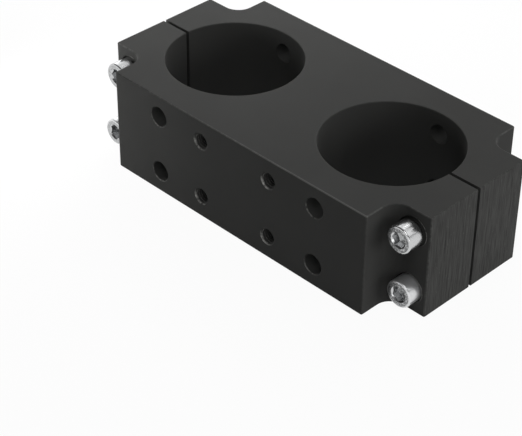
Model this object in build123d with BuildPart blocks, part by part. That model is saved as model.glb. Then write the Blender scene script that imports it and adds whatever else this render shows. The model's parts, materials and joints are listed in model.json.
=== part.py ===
from build123d import *
import math
import os

# Clamping base: a block with two tube bores and the four screws that close them
# X runs along the block, the front face looks towards -Y and the tube bores stand along Z
# The origin lies under the middle of the block, on the face that it stands on

# Block
block_length = 150.0
block_width = 74.0
block_height = 40.0
edge_break = 0.4

# Tube bores and the slits that let them close
bore_diameter = 50.0
bore_pitch = 75.0
slit_width = 1.3

# Notches in the four upright corners, which hold the screw heads
notch_length = 15.0
notch_depth = 13.75
notch_corner_radius = 6.0

# Every kind of cross hole comes in a lower and an upper row
row_pitch = 23.0
hole_mouth_chamfer = 0.4

# Plain fixing holes on the bore axes, drilled from front to back
fixing_hole_diameter = 7.5

# Blind tapped holes in the front face, between the bores
tapped_hole_pitch = 32.5
tapped_hole_depth = 14.0
drill_point_angle = 118.0

# Socket head clamp screws
screw_end_distance = 7.25
thread_diameter = 6.0
screw_length = 40.0
screw_tip_chamfer = 0.6
head_diameter = 10.0
head_height = 6.0
head_edge_radius = 0.6
underhead_radius = 0.25
socket_width = 5.0
socket_depth = 3.0
socket_mouth_diameter = 6.1
socket_point_angle = 120.0

# Fits between the screws and the block, all measured on the radius
thread_clearance = 0.05
shank_clearance = 0.3
seat_clearance = 0.5
seat_depth = 0.8

# How far each screw is backed off its seat
left_upper_backed_off = 1.8
left_lower_backed_off = 3.6
right_upper_backed_off = 1.9
right_lower_backed_off = 0.0

# How a socket is turned about its screw: with its corners or its flats towards the ends of the block
corners_to_ends = 0.0
flats_to_ends = 30.0

# Each screw: its end of the block, its row, how far it is backed off its seat, and its socket's turn
left = -1
right = 1
lower = -1
upper = 1
screws = {
    "clamp_screw_left_upper": (left, upper, left_upper_backed_off, flats_to_ends),
    "clamp_screw_left_lower": (left, lower, left_lower_backed_off, corners_to_ends),
    "clamp_screw_right_upper": (right, upper, right_upper_backed_off, flats_to_ends),
    "clamp_screw_right_lower": (right, lower, right_lower_backed_off, corners_to_ends),
}

# Places worked out from the sizes above
front_y = -block_width / 2
back_y = block_width / 2
seat_wall_y = front_y + notch_depth
seat_y = seat_wall_y + seat_depth
middle_z = block_height / 2
screw_pitch = block_length - 2 * screw_end_distance
tapped_hole_radius = thread_diameter / 2 + thread_clearance
shank_hole_radius = thread_diameter / 2 + shank_clearance
seat_radius = head_diameter / 2 + seat_clearance
fixing_hole_radius = fixing_hole_diameter / 2


def facing_front(y):
    """The upright plane at this depth, looking out of the front face, centred on the block."""
    return Plane(origin=(0, y, middle_z), x_dir=(1, 0, 0), z_dir=(0, -1, 0))


def facing_back(y):
    """The upright plane at this depth, looking out of the back face, centred on the block."""
    return Plane(origin=(0, y, middle_z), x_dir=(-1, 0, 0), z_dir=(0, 1, 0))


def point_height(radius, point_angle):
    """The height of the cone that a drill of this point angle leaves in a hole of this radius."""
    return radius / math.tan(math.radians(point_angle / 2))


def cut_mouths(face_plane, pitch, radius):
    """Chamfers the mouths of four holes that open in this plane."""
    with BuildSketch(face_plane) as mouths:
        with GridLocations(pitch, row_pitch, 2, 2):
            Circle(radius + hole_mouth_chamfer)
    extrude(mouths.sketch, amount=-hole_mouth_chamfer, taper=45, mode=Mode.SUBTRACT)


def cut_holes(start_plane, pitch, radius, length):
    """Cuts four round holes from this plane into the block."""
    with BuildSketch(start_plane) as sections:
        with GridLocations(pitch, row_pitch, 2, 2):
            Circle(radius)
    extrude(sections.sketch, amount=-length, mode=Mode.SUBTRACT)


def cut_drill_points(end_plane, pitch, radius):
    """Ends four blind holes in the cone that the drill leaves."""
    cone_height = point_height(radius, drill_point_angle)
    with Locations(end_plane.offset(-cone_height / 2)):
        with GridLocations(pitch, row_pitch, 2, 2):
            Cone(0, radius, cone_height, mode=Mode.SUBTRACT)


def clamp_screw(seat_plane, socket_turn):
    """A socket head cap screw whose head stands on this plane, on the side that the plane looks to."""
    lengthwise = Plane(origin=seat_plane.origin, x_dir=seat_plane.x_dir, z_dir=-seat_plane.y_dir)
    head_top = seat_plane.offset(head_height)
    mouth_radius = socket_mouth_diameter / 2
    mouth_depth = mouth_radius - socket_width / 2
    bottom_height = point_height(socket_width / 2, socket_point_angle)
    with BuildPart() as screw:
        # Half of the lengthwise section, spun about the screw's axis
        with BuildSketch(lengthwise) as section:
            Rectangle(thread_diameter / 2, screw_length, align=(Align.MIN, Align.MAX))
            Rectangle(head_diameter / 2, head_height, align=(Align.MIN, Align.MIN))
            levels = section.vertices().group_by(Axis.Y)
            chamfer(levels[0].sort_by(Axis.X)[-1], screw_tip_chamfer)
            fillet(levels[-1].sort_by(Axis.X)[-1], head_edge_radius)
            fillet(levels[1].sort_by(Axis.X)[-2], underhead_radius)
        revolve(axis=Axis(seat_plane.origin, seat_plane.z_dir))

        # Socket with its chamfered mouth and the point that its drill leaves
        with BuildSketch(head_top):
            RegularPolygon(socket_width / 2, 6, major_radius=False, rotation=socket_turn)
        extrude(amount=-socket_depth, mode=Mode.SUBTRACT)
        with Locations(head_top.offset(-mouth_depth / 2)):
            Cone(socket_width / 2, mouth_radius, mouth_depth, mode=Mode.SUBTRACT)
        with Locations(head_top.offset(-socket_depth - bottom_height / 2)):
            Cone(0, socket_width / 2, bottom_height, mode=Mode.SUBTRACT)
    return screw.part


with BuildPart() as clamp_block:
    # Outline with its notches and bores, drawn as it would be extruded
    with BuildSketch() as outline:
        Rectangle(block_length, block_width)
        with GridLocations(block_length, block_width, 2, 2):
            Rectangle(2 * notch_length, 2 * notch_depth, mode=Mode.SUBTRACT)
        corners = outline.vertices().sort_by(SortBy.DISTANCE)
        fillet(corners[:4], notch_corner_radius)
        chamfer(corners[4:], edge_break)
        with GridLocations(bore_pitch, 0, 2, 1):
            Circle(bore_diameter / 2, mode=Mode.SUBTRACT)
    extrude(amount=block_height)
    flat_faces = clamp_block.faces().sort_by(Axis.Z)
    chamfer(flat_faces[0].edges() + flat_faces[-1].edges(), edge_break)

    # Slits from the end faces into the bores, sawn after the edges are broken, so their own edges are sharp
    with BuildSketch() as slits:
        with GridLocations(block_length, 0, 2, 1):
            Rectangle(block_length - bore_pitch, slit_width)
    extrude(slits.sketch, amount=block_height, mode=Mode.SUBTRACT)

    # Fixing holes through both walls of each bore
    cut_holes(facing_front(front_y), bore_pitch, fixing_hole_radius, block_width)
    cut_mouths(facing_front(front_y), bore_pitch, fixing_hole_radius)
    cut_mouths(facing_back(back_y), bore_pitch, fixing_hole_radius)

    # Tapped holes in the front face
    cut_holes(facing_front(front_y), tapped_hole_pitch, tapped_hole_radius, tapped_hole_depth)
    cut_drill_points(facing_front(front_y + tapped_hole_depth), tapped_hole_pitch, tapped_hole_radius)
    cut_mouths(facing_front(front_y), tapped_hole_pitch, tapped_hole_radius)

    # Screw seats, sunk into the front notches and their rounded corners
    cut_holes(facing_front(front_y), screw_pitch, seat_radius, notch_depth + seat_depth)

    # Screw holes: clear from the seat to the slit, tapped from the slit to the back notch
    cut_holes(facing_front(seat_y), screw_pitch, shank_hole_radius, -seat_y)
    cut_holes(facing_front(0), screw_pitch, tapped_hole_radius, back_y)
    cut_holes(facing_back(back_y), screw_pitch, tapped_hole_radius + hole_mouth_chamfer, notch_depth)
    cut_mouths(facing_back(-seat_wall_y), screw_pitch, tapped_hole_radius)

os.makedirs("parts", exist_ok=True)
clamp_block.part.label = "clamp_block"
export_step(clamp_block.part, "parts/clamp_block.step")

for name, (end, row, backed_off, socket_turn) in screws.items():
    seat_point = (end * screw_pitch / 2, seat_y - backed_off, middle_z + row * row_pitch / 2)
    seat_plane = Plane(origin=seat_point, x_dir=(1, 0, 0), z_dir=(0, -1, 0))
    screw = clamp_screw(seat_plane, socket_turn)
    screw.label = name
    export_step(screw, f"parts/{name}.step")
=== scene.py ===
import json
import math

import bmesh
import bpy
from bpy.props import FloatProperty, FloatVectorProperty, IntProperty, PointerProperty
from mathutils import Matrix, Vector


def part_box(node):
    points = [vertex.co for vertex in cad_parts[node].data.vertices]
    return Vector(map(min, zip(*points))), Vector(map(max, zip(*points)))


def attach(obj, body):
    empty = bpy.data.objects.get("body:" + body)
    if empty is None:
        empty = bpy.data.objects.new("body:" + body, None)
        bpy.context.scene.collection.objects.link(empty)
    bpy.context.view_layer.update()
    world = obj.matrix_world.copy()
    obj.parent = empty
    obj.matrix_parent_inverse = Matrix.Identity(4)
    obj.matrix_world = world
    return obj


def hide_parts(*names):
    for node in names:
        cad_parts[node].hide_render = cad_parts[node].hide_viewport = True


bl_info = {
    "name": "Clamping base",
    "version": (1, 0, 0),
    "blender": (4, 5, 0),
    "location": "View3D > Sidebar > Clamping base",
    "description": "Dresses a double bore clamping base: its machined block, its screws and the stage",
    "category": "Object",
}

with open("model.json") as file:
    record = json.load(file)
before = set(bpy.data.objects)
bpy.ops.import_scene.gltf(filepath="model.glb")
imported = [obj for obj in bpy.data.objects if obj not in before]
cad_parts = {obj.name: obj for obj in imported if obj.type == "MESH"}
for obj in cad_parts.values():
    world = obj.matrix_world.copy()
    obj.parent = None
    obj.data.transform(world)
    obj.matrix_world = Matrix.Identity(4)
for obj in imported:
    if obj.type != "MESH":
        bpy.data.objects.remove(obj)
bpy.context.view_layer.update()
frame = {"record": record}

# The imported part's own sizes, in metres
block_low, block_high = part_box("clamp_block")
block_size = block_high - block_low
block_centre = (block_low + block_high) / 2
mounts = {mount["name"]: mount for mount in frame["record"]["mounts"]}
MM = 0.001

# How far a drill runs past a face, how far a chamfer does, and a step too small to see
OVERRUN = 0.0005
SKIM = 0.00005
SHARP = 0.000001

# How far under one of the block's outermost planes a point still counts as lying on it
SKIN = 0.0006

# Faces that meet at a wider angle than this keep a sharp edge between them
CREASE = math.radians(32.0)

# The cones that drills leave at the end of a blind hole and at the bottom of a hexagon socket
DRILL_POINT = math.radians(118.0)
SOCKET_POINT = math.radians(120.0)

# From 0 in the middle of a thread's crest to 1 in the middle of its root: where the crest ends, where the
# root starts, and where a hole's own crests, which a cutter's roots leave, start to show uncoated metal and
# painted glints
CREST_END = 0.15
ROOT_START = 0.8
BARE_AND_GLINT_START = 0.75

# How many times wider than deep the broken lip of a screw seat is
LIP_SLOPE = 4.0

# The side of a hole's mouth and of a screw seat's lip that carries a painted highlight, as angles in the
# hole's frame
LOWER_LEFT = math.radians(128.0)
UPPER_RIGHT = math.radians(-35.0)

# How far each kind of wall is lightened along its top and bottom edges, and which upright walls are: edge
# abrasion and a painted highlight
EDGE_ABRASION_AND_HIGHLIGHT = {"bore": 0.15, "notch": 0.4, "end_corner": 1.0, "back_corner": 1.0, "by_slit": 0.2, "flat": 1.0}
UPRIGHT_ABRASION_AND_HIGHLIGHT = {"end_corner": 0.6, "back_corner": 0.2}

# How far the sockets in each row of screws are turned, and how satin those screws look; the satin share
# also paints the lower row's zinc lighter, as painted light
SOCKET_TURN = {"upper": math.radians(30.0), "lower": 0.0}
SATIN_AND_PAINTED_LIGHT = {"upper": 0.15, "lower": 1.0}

# How far the rings round the sockets are darkened at each end of the block: a dull face, and a painted dark
# reflection that is stronger at the right end
RING_DULL_AND_SHADE = {"left": 0.3, "right": 1.0}

# Name, place and size in metres, and how white each lamp alone makes a sheet at the block's centre
LAMPS = (
    ("top_softbox", Vector((0.0, 0.0, 0.9)), 0.9, 0.04),
    ("back_softbox", Vector((0.0, 0.6, 0.42)), 0.4, 0.36),
    ("back_left_softbox", Vector((-0.8, 0.5, 0.35)), 0.7, 0.08),
    ("high_back_left_softbox", Vector((-0.24, 0.26, 0.29)), 0.52, 0.40),
    ("back_left_lamp", Vector((-0.16, 0.12, 0.13)), 0.1, 0.60),
    ("high_back_right_softbox", Vector((0.5, 0.55, 0.6)), 0.5, 0.11),
    ("left_lamp", Vector((-0.13, -0.062, 0.04)), 0.06, 0.55),
    ("front_right_softbox", Vector((0.6, -0.6, 0.5)), 0.5, 0.03),
    ("low_front_right_softbox", Vector((0.6, -0.5, 0.15)), 0.3, 0.06),
    ("high_front_right_softbox", Vector((0.35, -0.35, 0.7)), 0.4, 0.24),
    ("right_softbox", Vector((0.6, 0.15, 0.12)), 0.35, 0.48),
)

# The lamps that stay out of reflections, where the screws would mirror them as hard white spots
UNMIRRORED = {"back_left_lamp", "left_lamp", "right_softbox"}

# Full white, how dim the world's white is, and how near to white the camera sees the floor
WHITE = (1.0, 1.0, 1.0, 1.0)
WORLD_STRENGTH = 0.05
FLOOR_WHITENESS = 0.95

# The width of the camera's sensor in millimetres, which the focal length goes with
SENSOR_WIDTH = 36.0


def mount_size(mount, key):
    """One of a mount's sizes, in metres."""
    return mounts[mount]["dims"][key] * MM


def screw_nodes():
    """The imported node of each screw's body."""
    bodies = frame["record"]["behaviour"]["bodies"]
    return {body: nodes[0] for body, nodes in bodies.items() if body.endswith("_screw")}


def length(name, description, default):
    """A length that a user can change."""
    return FloatProperty(name=name, description=description, default=default, min=0.0, unit="LENGTH",
                         subtype="DISTANCE", precision=5)


def turn(name, description, degrees):
    """An angle that a user can change."""
    return FloatProperty(name=name, description=description, default=math.radians(degrees), unit="ROTATION",
                         subtype="ANGLE")


def colour(name, description, default):
    """A surface colour that a user can change."""
    return FloatVectorProperty(name=name, description=description, default=default, min=0.0, max=1.0,
                               size=3, subtype="COLOR")


class ClampBlockSizes(bpy.types.PropertyGroup):
    """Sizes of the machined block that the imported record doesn't state"""
    edge_round: length("Edge round", "Radius of the edges round the top and bottom faces", 0.0004)
    corner_round: length("Corner round", "Radius of the outward upright corners", 0.0006)
    slit: length("Slit", "Width of the slit that lets each bore close", 0.0013)
    notch_length: length("Notch length", "Size of each corner notch along the block", 0.015)
    notch_depth: length("Notch depth", "Size of each corner notch across the block", 0.01375)
    notch_radius: length("Notch radius", "Radius inside each corner notch", 0.006)
    mouth: length("Hole mouth", "Chamfer at the mouth of every cross hole", 0.0003)
    tapped_depth: length("Tapped hole depth", "Depth of each blind hole to its drill point", 0.014)
    seat_radius: length("Seat radius", "Radius of the sunk seat under each screw head", 0.0055)
    seat_depth: length("Seat depth", "Depth of each screw seat below the notch wall", 0.0008)
    lip_width: length("Lip width", "Width of the broken lip round each screw seat", 0.00028)
    shank_hole_radius: length("Shank hole radius", "Radius of the clear hole round each shank", 0.0033)
    thread_start: length("Thread start", "How far past the block's middle screw holes show thread", 0.0177)


class ClampScrewSizes(bpy.types.PropertyGroup):
    """Sizes of the socket head clamp screws"""
    pitch: length("Thread pitch", "Distance from one thread crest to the next", 0.001)
    thread_depth: length("Thread depth", "How deep the thread's groove is cut", 0.00055)
    thread_clearance: length("Thread clearance", "Gap between the shank and its tapped hole", 0.00005)
    plain_shank: length("Plain shank", "Length of the shank between the head and the thread", 0.016)
    head_height: length("Head height", "Height of the cylindrical head", 0.006)
    head_round: length("Head round", "Radius of the head's outer edge", 0.0006)
    neck_round: length("Neck round", "Radius where the shank meets the head", 0.00025)
    tip_chamfer: length("Tip chamfer", "Chamfer at the end of the thread", 0.0006)
    socket_width: length("Socket width", "Size across the flats of the hexagon socket", 0.005)
    socket_depth: length("Socket depth", "Depth of the hexagon socket", 0.003)
    socket_mouth: length("Socket mouth", "Diameter of the socket's chamfered mouth", 0.0061)


class ClampFinish(bpy.types.PropertyGroup):
    """Colours of the dressed part and its stage"""
    anodised: colour("Anodised black", "Colour of the block's satin black coat", (0.040, 0.0402, 0.0388))
    # The lighter edge colour stands for thinned coat at abraded edges and for a painted highlight along the
    # edges
    rubbed_and_highlit: colour("Rubbed edge", "Colour of the coat where edges are rubbed thin", (0.120, 0.120, 0.116))
    # The metal colour is uncoated metal on thread crests, with painted glints, and a painted highlight on
    # hole mouths and seat lips
    bare_and_highlight: colour("Bare metal", "Colour of mouths and threads worn through the coat", (0.45, 0.45, 0.43))
    zinc: colour("Bright zinc", "Colour of the plated screws", (0.56, 0.565, 0.57))
    # The ring colour stands for a dull face and for a painted dark reflection on it
    stamped_and_shade: colour("Stamped zinc", "Colour of the duller ring round each socket", (0.16, 0.163, 0.165))
    floor: colour("Floor", "Colour of the floor", (0.65, 0.65, 0.65))


class ClampView(bpy.types.PropertyGroup):
    """The camera that matches the photograph, and the resolution of round shapes"""
    focal_length: FloatProperty(name="Focal length", description="Lens in millimetres on a 36 mm sensor",
                                default=117.24, min=10.0)
    azimuth: turn("Azimuth", "Turn of the camera round the part from its front", 44.95)
    elevation: turn("Elevation", "Height of the camera above the horizon", 36.44)
    roll: turn("Roll", "Turn of the camera about its own axis", 0.566)
    distance: length("Distance", "From the camera to the plane of its aim point", 0.5978)
    aim_left: length("Aim left", "How far left of the block's centre the camera aims", 0.01698)
    aim_below: length("Aim below", "How far below the block's centre the camera aims", 0.02513)
    hole_steps: IntProperty(name="Steps round a hole", description="Facets round each cross hole",
                            default=48, min=12)
    screw_steps: IntProperty(name="Steps round a screw", description="Facets round each screw",
                             default=96, min=24)


class Socket:
    """A node's output, which takes part in Python arithmetic by adding Math nodes."""

    def __init__(self, graph, output):
        self.graph = graph
        self.output = output

    def __add__(self, other):
        return self.graph.maths("ADD", self, other)

    def __sub__(self, other):
        return self.graph.maths("SUBTRACT", self, other)

    def __rsub__(self, other):
        return self.graph.maths("SUBTRACT", other, self)

    def __mul__(self, other):
        return self.graph.maths("MULTIPLY", self, other)

    def __gt__(self, other):
        return self.graph.maths("GREATER_THAN", self, other)

    def __lt__(self, other):
        return self.graph.maths("LESS_THAN", self, other)

    def __abs__(self):
        return self.graph.maths("ABSOLUTE", self)

    __radd__ = __add__


class Graph:
    """The nodes of one material, or of the world."""

    def __init__(self, owner):
        owner.use_nodes = True
        self.tree = owner.node_tree
        self.tree.nodes.clear()

    def node(self, kind, settings, inputs):
        """Adds a node: its settings come first, then the values or links of its sockets."""
        node = self.tree.nodes.new("ShaderNode" + kind)
        for name, value in settings.items():
            setattr(node, name, value)
        for name, value in inputs.items():
            if isinstance(value, Socket):
                self.tree.links.new(value.output, node.inputs[name])
            else:
                node.inputs[name].default_value = value
        return node

    def read(self, kind, output, settings, inputs):
        """Adds a node and gives the named output as a Socket."""
        return Socket(self, self.node(kind, settings, inputs).outputs[output])

    def maths(self, operation, *terms):
        """One arithmetic step on sockets and numbers."""
        return self.read("Math", "Value", {"operation": operation}, dict(enumerate(terms)))

    def blend(self, share, start, end):
        """The colour that lies this share of the way from start to end."""
        return self.read("Mix", 2, {"data_type": "RGBA"}, {0: share, 6: start, 7: end})

    def shaded(self, rgb, shade):
        """A colour made lighter or darker by a factor."""
        return self.read("VectorMath", "Vector", {"operation": "SCALE"}, {0: rgb, "Scale": shade})

    def mark(self, name):
        """How far a face carries this mark, which the mesh keeps as an attribute."""
        return self.read("Attribute", "Fac", {"attribute_name": name}, {})

    def place(self, scale):
        """The surface point in the piece's own frame, stretched by one factor along each axis."""
        point = self.read("TexCoord", "Object", {}, {})
        return self.read("VectorMath", "Vector", {"operation": "MULTIPLY"}, {0: point, 1: scale})

    def noise(self, lumps, detail):
        """Grey noise from 0 to 1, with this many lumps to the metre along each axis."""
        values = {"Vector": self.place(lumps), "Scale": 1.0, "Detail": detail}
        return self.read("TexNoise", "Fac", {}, values)

    def waver(self, lumps, detail):
        """Noise that wavers about zero."""
        return self.noise(lumps, detail) - 0.5

    def patches(self, lumps, detail, contrast, lowered):
        """Noise with its contrast raised, then lowered so that its dark parts fall below zero."""
        return self.noise(lumps, detail) * contrast - lowered

    def finish(self, kind, shader):
        """Sends a shader to the material's or the world's output."""
        self.node("Output" + kind, {}, {"Surface": shader})


def opaque(rgb):
    """A colour with full alpha, as colour sockets want it."""
    return (*rgb, 1.0)


def evenly(count):
    """The same count along all three axes."""
    return (count, count, count)


def black_anodised(finish):
    """Satin black anodised aluminium: sawn end faces painted lighter, a mottled coat, edges lightened by
    abrasion and a painted highlight, and painted highlights on hole mouths.
    """
    material = bpy.data.materials.new("black_anodised")
    graph = Graph(material)
    point = graph.node("SeparateXYZ", {}, {"Vector": graph.place(evenly(1.0))})
    along, across, up = [Socket(graph, point.outputs[axis]) for axis in "XYZ"]
    at_end = abs(along) > block_size.x / 2 - SKIN
    at_front = across < SKIN - block_size.y / 2
    on_top = up > block_size.z - SKIN

    # On the end faces the saw has left upright streaks, finer hairs and a few short nicks
    streaks = graph.waver((1400.0, 1400.0, 60.0), 3.0)
    hairs = graph.waver((3000.0, 3000.0, 130.0), 2.0)
    nicks = graph.noise((1700.0, 1700.0, 900.0), 1.0) > 0.73
    sawn = (streaks * 1.4 + hairs * 1.7 + nicks * 0.4) * at_end
    mottle = graph.waver(evenly(45.0), 3.0)
    grain = graph.waver(evenly(5200.0), 1.0)
    # The end faces are painted 7% lighter all over, as painted light; the sawn streaks, mottle and grain
    # vary the tone at random
    shade = 1.0 + at_end * 0.07 + sawn * 0.9 + mottle * 0.25 + grain * 0.12
    coat = graph.shaded(finish.anodised, shade)

    # Edges are lightened in patches, as abrasion and a painted highlight, and the front's top edge more so
    # towards the right end, as a painted highlight
    edge = graph.mark("edge")
    abrasion_and_glint = graph.patches(evenly(700.0), 3.0, contrast=1.4, lowered=0.4)
    front_edge_highlight = at_front * on_top * (along * 12.0 + 0.45)
    rubbed_and_highlit = graph.blend(edge * (abrasion_and_glint + front_edge_highlight), coat, opaque(finish.rubbed_and_highlit))
    # Hole mouths and seat lips get a painted highlight in metal colour, thread crests uncoated metal with
    # painted glints, in patches
    scraped_and_highlit = graph.mark("bare_and_highlight") * graph.patches(evenly(900.0), 2.0, contrast=2.4, lowered=0.7)
    shown = graph.blend(scraped_and_highlit, rubbed_and_highlit, opaque(finish.bare_and_highlight))

    roughness = 0.46 + mottle * 0.10 - sawn * 0.20 - edge * 0.08
    height = sawn * 0.8 + grain * 0.25
    normal = graph.read("Bump", "Normal", {}, {"Strength": 0.35, "Distance": 0.00005, "Height": height})
    shader = graph.read("BsdfPrincipled", "BSDF", {}, {
        "Base Color": shown, "Roughness": roughness, "Specular IOR Level": 0.02, "Normal": normal})
    graph.finish("Material", shader)
    return material


def bright_zinc(finish):
    """Bright zinc on steel: a slightly lumpy mirror, dull, pitted and painted darker on rings, satin and
    painted lighter where marked.
    """
    material = bpy.data.materials.new("bright_zinc")
    graph = Graph(material)
    lumps = graph.waver(evenly(1100.0), 2.0)
    fine = graph.waver(evenly(4200.0), 2.0)
    pits = graph.waver(evenly(1900.0), 2.0)
    ring = graph.mark("ring")
    satin = graph.mark("satin")
    # The ring round each socket is blended towards the darker ring colour: a dull pitted face and a painted
    # dark reflection, stronger on the right end's screws
    plate = graph.blend(ring * (0.9 + pits * 5.0), opaque(finish.zinc), opaque(finish.stamped_and_shade))
    # The satin mark paints the zinc up to 22% lighter, as painted light on the lower row of screws; the
    # lumps vary it at random
    shown = graph.shaded(plate, 1.0 + lumps * 0.10 + satin * 0.22)
    metallic = 1.0 - satin * 0.2
    roughness = 0.22 + lumps * 0.12 + ring * 0.10 + satin * 0.08
    height = lumps + fine * 0.4 + ring * pits
    normal = graph.read("Bump", "Normal", {}, {"Strength": 0.5, "Distance": 0.00004, "Height": height})
    shader = graph.read("BsdfPrincipled", "BSDF", {}, {
        "Base Color": shown, "Metallic": metallic, "Roughness": roughness, "Normal": normal})
    graph.finish("Material", shader)
    return material


def arc(centre, radius, start, end, steps):
    """Points on an arc from one angle to another, in degrees, both ends included."""
    points = []
    for step in range(steps + 1):
        angle = math.radians(start + (end - start) * step / steps)
        points.append((centre[0] + radius * math.cos(angle), centre[1] + radius * math.sin(angle)))
    return points


def quarter_outline(sizes, inset):
    """The block's back right quarter from above, from the bore's inner side to the middle of the back.

    It is drawn inwards by inset. Each point is its x, its y and the kind of wall that it stands on.
    """
    bore_x = mounts["right_bore"]["pos_m"][0]
    bore_radius = mount_size("right_bore", "r_mm") + inset
    half_slit = sizes.slit / 2
    slit_angle = math.degrees(math.asin(half_slit / bore_radius))
    end_x = block_size.x / 2
    back_y = block_size.y / 2
    wall_x = end_x - sizes.notch_length
    wall_y = back_y - sizes.notch_depth
    corner = sizes.corner_round
    bend = sizes.notch_radius
    walls = {
        "bore": arc((bore_x, 0.0), bore_radius, 180.0, slit_angle, steps=60),
        "slit": [(end_x - inset, half_slit)],
        "end_corner": arc((end_x - corner, wall_y - corner), corner - inset, 0.0, 90.0, steps=4),
        "notch": arc((wall_x + bend, wall_y + bend), bend + inset, 270.0, 180.0, steps=14),
        "back_corner": arc((wall_x - corner, back_y - corner), corner - inset, 0.0, 90.0, steps=4),
        "back": [(0.0, back_y - inset)],
    }
    return [(x, y, kind) for kind, points in walls.items() for x, y in points]


def block_outline(sizes, inset):
    """The whole block from above as one loop, because each slit opens its bore to the end face."""
    quarter = quarter_outline(sizes, inset)
    back_left = [(-x, y, kind) for x, y, kind in reversed(quarter[1:-1])]
    front_left = [(-x, -y, kind) for x, y, kind in quarter]
    front_right = [(x, -y, kind) for x, y, kind in reversed(quarter[1:-1])]
    return quarter + back_left + front_left + front_right


def wall_kinds(outline):
    """The kind of wall from each point of an outline to the next."""
    kinds = [kind for x, y, kind in outline]
    walls = []
    for kind, following in zip(kinds, kinds[1:] + kinds[:1]):
        if kind == following:
            walls.append(kind)
        else:
            walls.append("by_slit" if "slit" in (kind, following) else "flat")
    return walls


def marked_mesh(*names):
    """An empty bmesh whose faces can carry these marks, which the materials read."""
    mesh = bmesh.new()
    marks = {name: mesh.faces.layers.float.new(name) for name in names}
    return mesh, marks


def join_rings(mesh, rings):
    """Joins rings of as many points each by bands of faces, and gives the bands."""
    bands = []
    for low, high in zip(rings, rings[1:]):
        count = len(low)
        bands.append([mesh.faces.new((low[i], low[(i + 1) % count], high[(i + 1) % count], high[i]))
                      for i in range(count)])
    return bands


def close_ends(mesh, rings):
    """Closes a form of joined rings with a face at each end."""
    mesh.faces.new(rings[0])
    mesh.faces.new(rings[-1])


def solid_from(mesh, name):
    """An object from a finished bmesh, with its faces turned outwards."""
    bmesh.ops.recalc_face_normals(mesh, faces=mesh.faces)
    data = bpy.data.meshes.new(name)
    mesh.to_mesh(data)
    mesh.free()
    piece = bpy.data.objects.new(name, data)
    bpy.context.scene.collection.objects.link(piece)
    return piece


def plain_block(sizes):
    """The block before its cross holes are drilled: rows of outlines, rounded in at top and bottom."""
    mesh, marks = marked_mesh("edge", "bare_and_highlight")
    steps = 3
    bottom = []
    for step in range(steps + 1):
        angle = math.pi / 2 * step / steps
        bottom.append((sizes.edge_round * (1 - math.cos(angle)), sizes.edge_round * (1 - math.sin(angle))))
    rows = bottom + [(block_size.z - height, inset) for height, inset in reversed(bottom)]
    rings = []
    for height, inset in rows:
        rings.append([mesh.verts.new((x, y, height)) for x, y, kind in block_outline(sizes, inset)])
    walls = wall_kinds(block_outline(sizes, 0.0))
    for number, band in enumerate(join_rings(mesh, rings)):
        for face, wall in zip(band, walls):
            # Top and bottom bands carry the edge mark, upright bands only at some corners: abrasion and a
            # painted highlight along the edge
            face[marks["edge"]] = UPRIGHT_ABRASION_AND_HIGHLIGHT.get(wall, 0.0) if number == steps else EDGE_ABRASION_AND_HIGHLIGHT[wall]
    close_ends(mesh, rings)
    return solid_from(mesh, "machined_block")


def thread_side(turns):
    """Where a thread stands after this many turns, from 0 in mid crest to 1 in mid root."""
    return abs(2.0 * (turns % 1.0) - 1.0)


def thread_radius(major, depth, pitch, height, angle):
    """Radius of a thread at this height and angle."""
    travel = height - pitch * angle / math.tau
    sunk = (thread_side(travel / pitch) - CREST_END) / (ROOT_START - CREST_END)
    return major - depth * min(max(sunk, 0.0), 1.0)


def spaced(start, end, step):
    """Heights from start to end, about this far apart."""
    count = max(1, round((end - start) / step))
    return [start + (end - start) * number / count for number in range(count + 1)]


def thread_heights(start, end, pitch):
    """Heights from start to end, close enough to draw a thread of this pitch."""
    return spaced(start, end, pitch / 8)


def hole_frame(x, y, z):
    """A frame whose Z axis runs into the block from this point, towards the back."""
    return Matrix.Translation((x, y, z)) @ Matrix.Rotation(-math.pi / 2, 4, "X")


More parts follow.
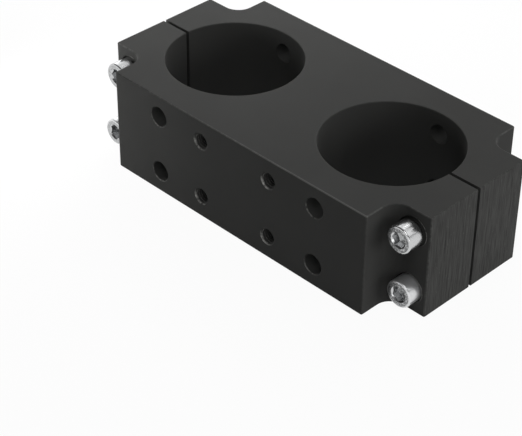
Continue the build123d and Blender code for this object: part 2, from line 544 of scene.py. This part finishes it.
class Drills:
    """The cutters of all cross holes, in one mesh whose faces mark painted highlights and uncoated metal in
    the holes.
    """

    def __init__(self, sizes, screw, steps):
        self.mesh, self.marks = marked_mesh("edge", "bare_and_highlight")
        self.sizes = sizes
        self.screw = screw
        self.steps = steps
        self.major = mount_size("tapped_holes_front", "hole_r_mm")

    def add(self, x, z, heights, radius_at):
        """Adds a cutter that runs inwards from the front face, and gives its bands by their lower heights.

        At each height, radius_at gives the radius for each angle.
        """
        axis_frame = hole_frame(x, block_low.y, z)
        angles = [math.tau * step / self.steps for step in range(self.steps)]
        rings = []
        for height in heights:
            ring = []
            for angle in angles:
                radius = radius_at(height, angle)
                point = Vector((radius * math.cos(angle), radius * math.sin(angle), height))
                ring.append(self.mesh.verts.new(axis_frame @ point))
            rings.append(ring)
        close_ends(self.mesh, rings)
        return dict(zip(heights, join_rings(self.mesh, rings)))

    def highlight_side(self, band, side, worn_and_lit):
        """Marks a painted highlight on the faces of a band that lie towards one side, and how strong it is.
        """
        for number, face in enumerate(band):
            angle = math.tau * number / len(band)
            face[self.marks["bare_and_highlight"]] = worn_and_lit * max(math.cos(angle - side), 0.0) ** 2

    def highlight_mouth(self, bands, worn_and_lit):
        """Marks a painted highlight on the lower left of a hole's mouth."""
        for height, band in bands.items():
            if height < self.sizes.mouth:
                self.highlight_side(band, LOWER_LEFT, worn_and_lit)

    def mark_crests_uncoated_and_glinting(self, bands, end, worn_and_lit):
        """Marks the crests of a hole's thread from its mouth to this depth, as the cutter's roots, with
        uncoated metal and painted glints.
        """
        for height, band in bands.items():
            if self.sizes.mouth <= height < end:
                for number, face in enumerate(band):
                    if thread_side(height / self.screw.pitch - number / len(band)) > BARE_AND_GLINT_START:
                        face[self.marks["bare_and_highlight"]] = worn_and_lit

    def thread_at(self, height, angle):
        """Radius of a hole's thread at this height and angle."""
        return thread_radius(self.major, self.screw.thread_depth, self.screw.pitch, height, angle)

    def fixing_hole(self, x, z):
        """A plain hole through both walls of a bore, chamfered at both faces."""
        mouth = self.sizes.mouth
        depth = block_size.y
        radius = mount_size("fixing_holes_front", "hole_r_mm")

        def radius_at(height, angle):
            return radius + max(mouth - height, mouth - (depth - height), 0.0)

        bands = self.add(x, z, [-OVERRUN, mouth, depth - mouth, depth + OVERRUN], radius_at)
        self.highlight_mouth(bands, worn_and_lit=0.45)

    def tapped_hole(self, x, z):
        """A blind tapped hole with its drill point."""
        mouth = self.sizes.mouth
        depth = self.sizes.tapped_depth
        thread_end = depth - 2 * self.screw.pitch
        drilled = self.major - self.screw.thread_depth
        point = drilled / math.tan(DRILL_POINT / 2)

        def radius_at(height, angle):
            if height > depth:
                return max(drilled * (1.0 - (height - depth) / point), SHARP)
            if height > thread_end:
                return drilled
            return max(self.thread_at(height, angle), self.major + mouth - height)

        heights = [-OVERRUN] + thread_heights(0.0, thread_end, self.screw.pitch)
        heights += [thread_end + SHARP, depth, depth + point]
        bands = self.add(x, z, heights, radius_at)
        self.highlight_mouth(bands, worn_and_lit=1.0)
        self.mark_crests_uncoated_and_glinting(bands, thread_end, worn_and_lit=0.35)

    def screw_hole(self, x, z):
        """A clamp screw's hole: seat, clear hole to the slit, then plain and threaded hole to the back.

        The seat's lip in the notch wall is broken to a shallow slope, and carries a painted highlight on
        its upper right.
        """
        sizes = self.sizes
        lip = sizes.notch_depth
        lip_end = lip + sizes.lip_width / LIP_SLOPE
        seat = lip + sizes.seat_depth
        middle = block_size.y / 2
        thread_start = middle + sizes.thread_start
        back_wall = block_size.y - sizes.notch_depth

        def radius_at(height, angle):
            if height < lip - SHARP / 2:
                return sizes.seat_radius
            if height < seat + SHARP / 2:
                return sizes.seat_radius + max(lip_end - height, 0.0) * LIP_SLOPE
            if height < middle + SHARP / 2:
                return sizes.shank_hole_radius
            if height < thread_start:
                return self.major
            mouth = self.major + sizes.mouth + min(height - back_wall, SKIM)
            return max(self.thread_at(height, angle), mouth)

        heights = [-OVERRUN, lip - SHARP, lip, lip_end, seat, seat + SHARP, middle, middle + SHARP]
        heights += thread_heights(thread_start, back_wall + SKIM, self.screw.pitch)
        heights += [block_size.y + OVERRUN]
        bands = self.add(x, z, heights, radius_at)
        self.highlight_side(bands[lip], UPPER_RIGHT, worn_and_lit=1.0)


def smooth_but_sharp(piece):
    """Shades round surfaces smooth, keeps creases sharp and flat faces flat."""
    piece.data.shade_smooth()
    piece.data.set_sharp_from_angle(angle=CREASE)
    weighted = piece.modifiers.new("even_shading", "WEIGHTED_NORMAL")
    weighted.keep_sharp = True


def cut(piece, cutter):
    """Cuts one solid out of another and throws the cutter away."""
    drill = piece.modifiers.new("cut", "BOOLEAN")
    drill.operation = "DIFFERENCE"
    drill.solver = "EXACT"
    drill.object = cutter
    graph = bpy.context.evaluated_depsgraph_get()
    data = bpy.data.meshes.new_from_object(piece.evaluated_get(graph))
    piece.modifiers.clear()
    piece.data = data
    bpy.data.objects.remove(cutter)


class CLAMP_OT_block(bpy.types.Operator):
    """Makes the machined block with its bores, slits, notches, seats and holes"""
    bl_idname = "clamp.make_block"
    bl_label = "Make block"

    def execute(self, context):
        scene = context.scene
        block = plain_block(scene.clamp_block)
        drills = Drills(scene.clamp_block, scene.clamp_screw, scene.clamp_view.hole_steps)
        for side in (-1, 1):
            for row in (-1, 1):
                z = block_centre.z + row * mount_size("fixing_holes_front", "spacing_y_mm") / 2
                drills.fixing_hole(side * mount_size("fixing_holes_front", "spacing_x_mm") / 2, z)
                drills.tapped_hole(side * mount_size("tapped_holes_front", "spacing_x_mm") / 2, z)
        for node in screw_nodes().values():
            low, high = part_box(node)
            centre = (low + high) / 2
            drills.screw_hole(centre.x, centre.z)
        cut(block, solid_from(drills.mesh, "drills"))
        smooth_but_sharp(block)
        block.data.materials.append(black_anodised(scene.clamp_finish))
        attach(block, "block")
        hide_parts("clamp_block")
        return {"FINISHED"}


def always(value):
    """A function that gives this value, whatever it is asked."""
    return lambda asked: value


class CapScrew:
    """A socket head cap screw in the making, stacked from rings along its own Z axis.

    Its head's top lies at zero and its tip at the far end.
    """

    def __init__(self, sizes, steps, socket_turn, head_radius, shank_radius, tip):
        self.mesh, self.marks = marked_mesh("ring", "satin")
        self.rings = []
        self.angles = [math.tau * step / steps + socket_turn for step in range(steps)]
        self.sizes = sizes
        self.socket_turn = socket_turn
        self.head_radius = head_radius
        self.shank_radius = shank_radius
        self.tip = tip

    def ring(self, radius_at, height_at):
        """Adds a ring: radius_at takes an angle, and height_at takes the radius there."""
        points = []
        for angle in self.angles:
            radius = radius_at(angle)
            place = (radius * math.cos(angle), radius * math.sin(angle), height_at(radius))
            points.append(self.mesh.verts.new(place))
        self.rings.append(points)

    def round_rings(self, *outline):
        """Adds a round ring for each radius and height of an outline."""
        for radius, height in outline:
            self.ring(always(radius), always(height))

    def add_socket(self):
        """The hexagon socket from its drilled point to its chamfered mouth."""
        depth = self.sizes.socket_depth
        mouth = self.sizes.socket_mouth / 2
        half = self.sizes.socket_width / 2
        sixth = math.tau / 6

        def hexagon(angle):
            return half / math.cos((angle - self.socket_turn + sixth / 2) % sixth - sixth / 2)

        self.round_rings((SHARP, depth + half / math.tan(SOCKET_POINT / 2)), (half - SHARP, depth))
        self.ring(hexagon, always(depth))
        self.ring(hexagon, lambda radius: mouth - radius)
        self.round_rings((mouth, 0.0))

    def add_flat(self):
        """The middle of the flat ring between the socket's mouth and the head's rounded edge."""
        mouth = self.sizes.socket_mouth / 2
        self.round_rings(((mouth + self.head_radius - self.sizes.head_round) / 2, 0.0))

    def add_head(self):
        """The head from its rounded edge to the shank's neck."""
        sizes = self.sizes
        edge_centre = (self.head_radius - sizes.head_round, sizes.head_round)
        neck_centre = (self.shank_radius + sizes.neck_round, sizes.head_height + sizes.neck_round)
        self.round_rings(*arc(edge_centre, sizes.head_round, -90.0, 0.0, steps=5))
        self.round_rings((self.head_radius, sizes.head_height - sizes.neck_round))
        self.round_rings((self.head_radius - sizes.neck_round, sizes.head_height))
        self.round_rings(*arc(neck_centre, sizes.neck_round, 270.0, 180.0, steps=3))

    def add_shank(self):
        """The plain shank and the thread with its chamfered tip."""
        sizes = self.sizes
        thread_start = sizes.head_height + sizes.plain_shank

        def threaded(height):
            chamfered = self.shank_radius - sizes.tip_chamfer + (self.tip - height)
            major = self.shank_radius
            depth = sizes.thread_depth
            return lambda angle: min(thread_radius(major, depth, sizes.pitch, height, angle), chamfered)

        self.round_rings((self.shank_radius, thread_start))
        for height in thread_heights(thread_start, self.tip, sizes.pitch)[1:]:
            self.ring(threaded(height), always(height))

    def make(self, name, dull_and_shade, satin):
        """Builds the whole screw, with its flat ring marked dull and painted darker, and everything after
        it marked satin and painted lighter.
        """
        self.add_socket()
        flat_start = len(self.rings) - 1
        self.add_flat()
        flat_end = len(self.rings)
        self.add_head()
        self.add_shank()
        for number, band in enumerate(join_rings(self.mesh, self.rings)):
            for face in band:
                if flat_start <= number < flat_end:
                    face[self.marks["ring"]] = dull_and_shade
                elif number >= flat_end:
                    face[self.marks["satin"]] = satin
        close_ends(self.mesh, self.rings)
        return solid_from(self.mesh, name)


class CLAMP_OT_screws(bpy.types.Operator):
    """Makes the four socket head clamp screws, each backed off as the photograph shows it"""
    bl_idname = "clamp.make_screws"
    bl_label = "Make screws"

    def execute(self, context):
        scene = context.scene
        sizes = scene.clamp_screw
        plate = bright_zinc(scene.clamp_finish)
        shank_radius = mount_size("tapped_holes_front", "hole_r_mm") - sizes.thread_clearance
        for body, node in screw_nodes().items():
            end, row = body.split("_")[:2]
            low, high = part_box(node)
            centre = (low + high) / 2
            parts = CapScrew(sizes, scene.clamp_view.screw_steps, SOCKET_TURN[row], (high.x - low.x) / 2,
                             shank_radius, high.y - low.y)
            screw = parts.make(f"cap_screw_{end}_{row}", RING_DULL_AND_SHADE[end], SATIN_AND_PAINTED_LIGHT[row])
            screw.data.transform(hole_frame(centre.x, low.y, centre.z))
            smooth_but_sharp(screw)
            screw.data.materials.append(plate)
            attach(screw, body)
            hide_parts(node)
        return {"FINISHED"}


def softbox(name, place, size, level):
    """A square soft lamp that faces the block, as strong as its level and its distance ask."""
    aim = block_centre - place
    data = bpy.data.lights.new(name, "AREA")
    data.size = size
    data.energy = level * math.pi ** 2 * aim.length_squared
    lamp = bpy.data.objects.new(name, data)
    lamp.visible_glossy = name not in UNMIRRORED
    lamp.location = place
    lamp.rotation_euler = aim.to_track_quat("-Z", "Y").to_euler()
    bpy.context.scene.collection.objects.link(lamp)


def seen_white(graph):
    """One for the rays that see a white background: from the camera, off gloss and through glass."""
    rays = graph.node("LightPath", {}, {})
    kinds = ("Is Camera Ray", "Is Glossy Ray", "Is Transmission Ray")
    camera, glossy, through = [Socket(graph, rays.outputs[kind]) for kind in kinds]
    return graph.maths("MINIMUM", camera + glossy + through, 1.0)


def pale_floor(finish):
    """A matt pale floor that the camera sees almost white, with a little of the part's shadow."""
    material = bpy.data.materials.new("pale_floor")
    graph = Graph(material)
    roughness = 0.8 + graph.noise(evenly(300.0), 2.0) * 0.02
    matt = graph.read("BsdfPrincipled", "BSDF", {}, {
        "Base Color": opaque(finish.floor), "Roughness": roughness, "Specular IOR Level": 0.0})
    white = graph.read("Emission", "Emission", {}, {"Color": WHITE, "Strength": 1.0})
    share = seen_white(graph) * FLOOR_WHITENESS
    graph.finish("Material", graph.read("MixShader", "Shader", {}, {0: share, 1: matt, 2: white}))
    return material


def studio_floor():
    """A round pale floor whose far rim curves up, so that a low view ends on it too."""
    mesh = bmesh.new()
    flat_radius = 2.0
    rim_radius = 1.0
    steps = 64
    angles = [math.tau * step / steps for step in range(steps)]
    rim = arc((flat_radius, rim_radius), rim_radius, 270.0, 360.0, steps=9)
    rings = []
    for radius, height in [(SHARP, 0.0)] + rim:
        rings.append([mesh.verts.new((radius * math.cos(a), radius * math.sin(a), height)) for a in angles])
    join_rings(mesh, rings)
    floor = solid_from(mesh, "floor")
    floor.data.shade_smooth()
    return floor


def dim_world():
    """White surroundings, dim enough to leave the light to the lamps."""
    world = bpy.data.worlds.new("studio")
    graph = Graph(world)
    sky = graph.read("Background", "Background", {}, {"Color": WHITE, "Strength": WORLD_STRENGTH})
    graph.finish("World", sky)
    return world


def photo_camera(view):
    """The camera that sees the part as the photograph does, tilted down and without shift."""
    turned = Matrix.Rotation(view.azimuth, 3, "Z")
    tilted = Matrix.Rotation(math.pi / 2 - view.elevation, 3, "X")
    rolled = Matrix.Rotation(view.roll, 3, "Z")
    facing = turned @ tilted @ rolled
    place = block_centre + facing @ Vector((-view.aim_left, -view.aim_below, view.distance))
    data = bpy.data.cameras.new("camera")
    data.sensor_width = SENSOR_WIDTH
    data.lens = view.focal_length
    camera = bpy.data.objects.new("camera", data)
    camera.matrix_world = Matrix.Translation(place) @ facing.to_4x4()
    bpy.context.scene.collection.objects.link(camera)
    return camera


class CLAMP_OT_stage(bpy.types.Operator):
    """Sets the floor, the soft lamps, the white surroundings and the camera"""
    bl_idname = "clamp.set_stage"
    bl_label = "Set stage"

    def execute(self, context):
        scene = context.scene
        scene.view_settings.view_transform = "Standard"
        floor = studio_floor()
        floor.data.materials.append(pale_floor(scene.clamp_finish))
        scene.world = dim_world()
        for lamp in LAMPS:
            softbox(*lamp)
        scene.camera = photo_camera(scene.clamp_view)
        return {"FINISHED"}


class VIEW3D_PT_clamping_base(bpy.types.Panel):
    """The steps that dress the clamping base"""
    bl_label = "Clamping base"
    bl_space_type = "VIEW_3D"
    bl_region_type = "UI"
    bl_category = "Clamping base"

    def draw(self, context):
        for operator in OPERATORS:
            self.layout.operator(operator.bl_idname)


OPERATORS = (CLAMP_OT_block, CLAMP_OT_screws, CLAMP_OT_stage)
SETTINGS = {
    "clamp_block": ClampBlockSizes,
    "clamp_screw": ClampScrewSizes,
    "clamp_finish": ClampFinish,
    "clamp_view": ClampView,
}


def register():
    for name, group in SETTINGS.items():
        bpy.utils.register_class(group)
        setattr(bpy.types.Scene, name, PointerProperty(type=group))
    for operator in OPERATORS:
        bpy.utils.register_class(operator)
    bpy.utils.register_class(VIEW3D_PT_clamping_base)


def unregister():
    bpy.utils.unregister_class(VIEW3D_PT_clamping_base)
    for operator in reversed(OPERATORS):
        bpy.utils.unregister_class(operator)
    for name, group in SETTINGS.items():
        delattr(bpy.types.Scene, name)
        bpy.utils.unregister_class(group)


def main():
    register()
    bpy.ops.clamp.make_block()
    bpy.ops.clamp.make_screws()
    bpy.ops.clamp.set_stage()


if __name__ == "__main__":
    main()
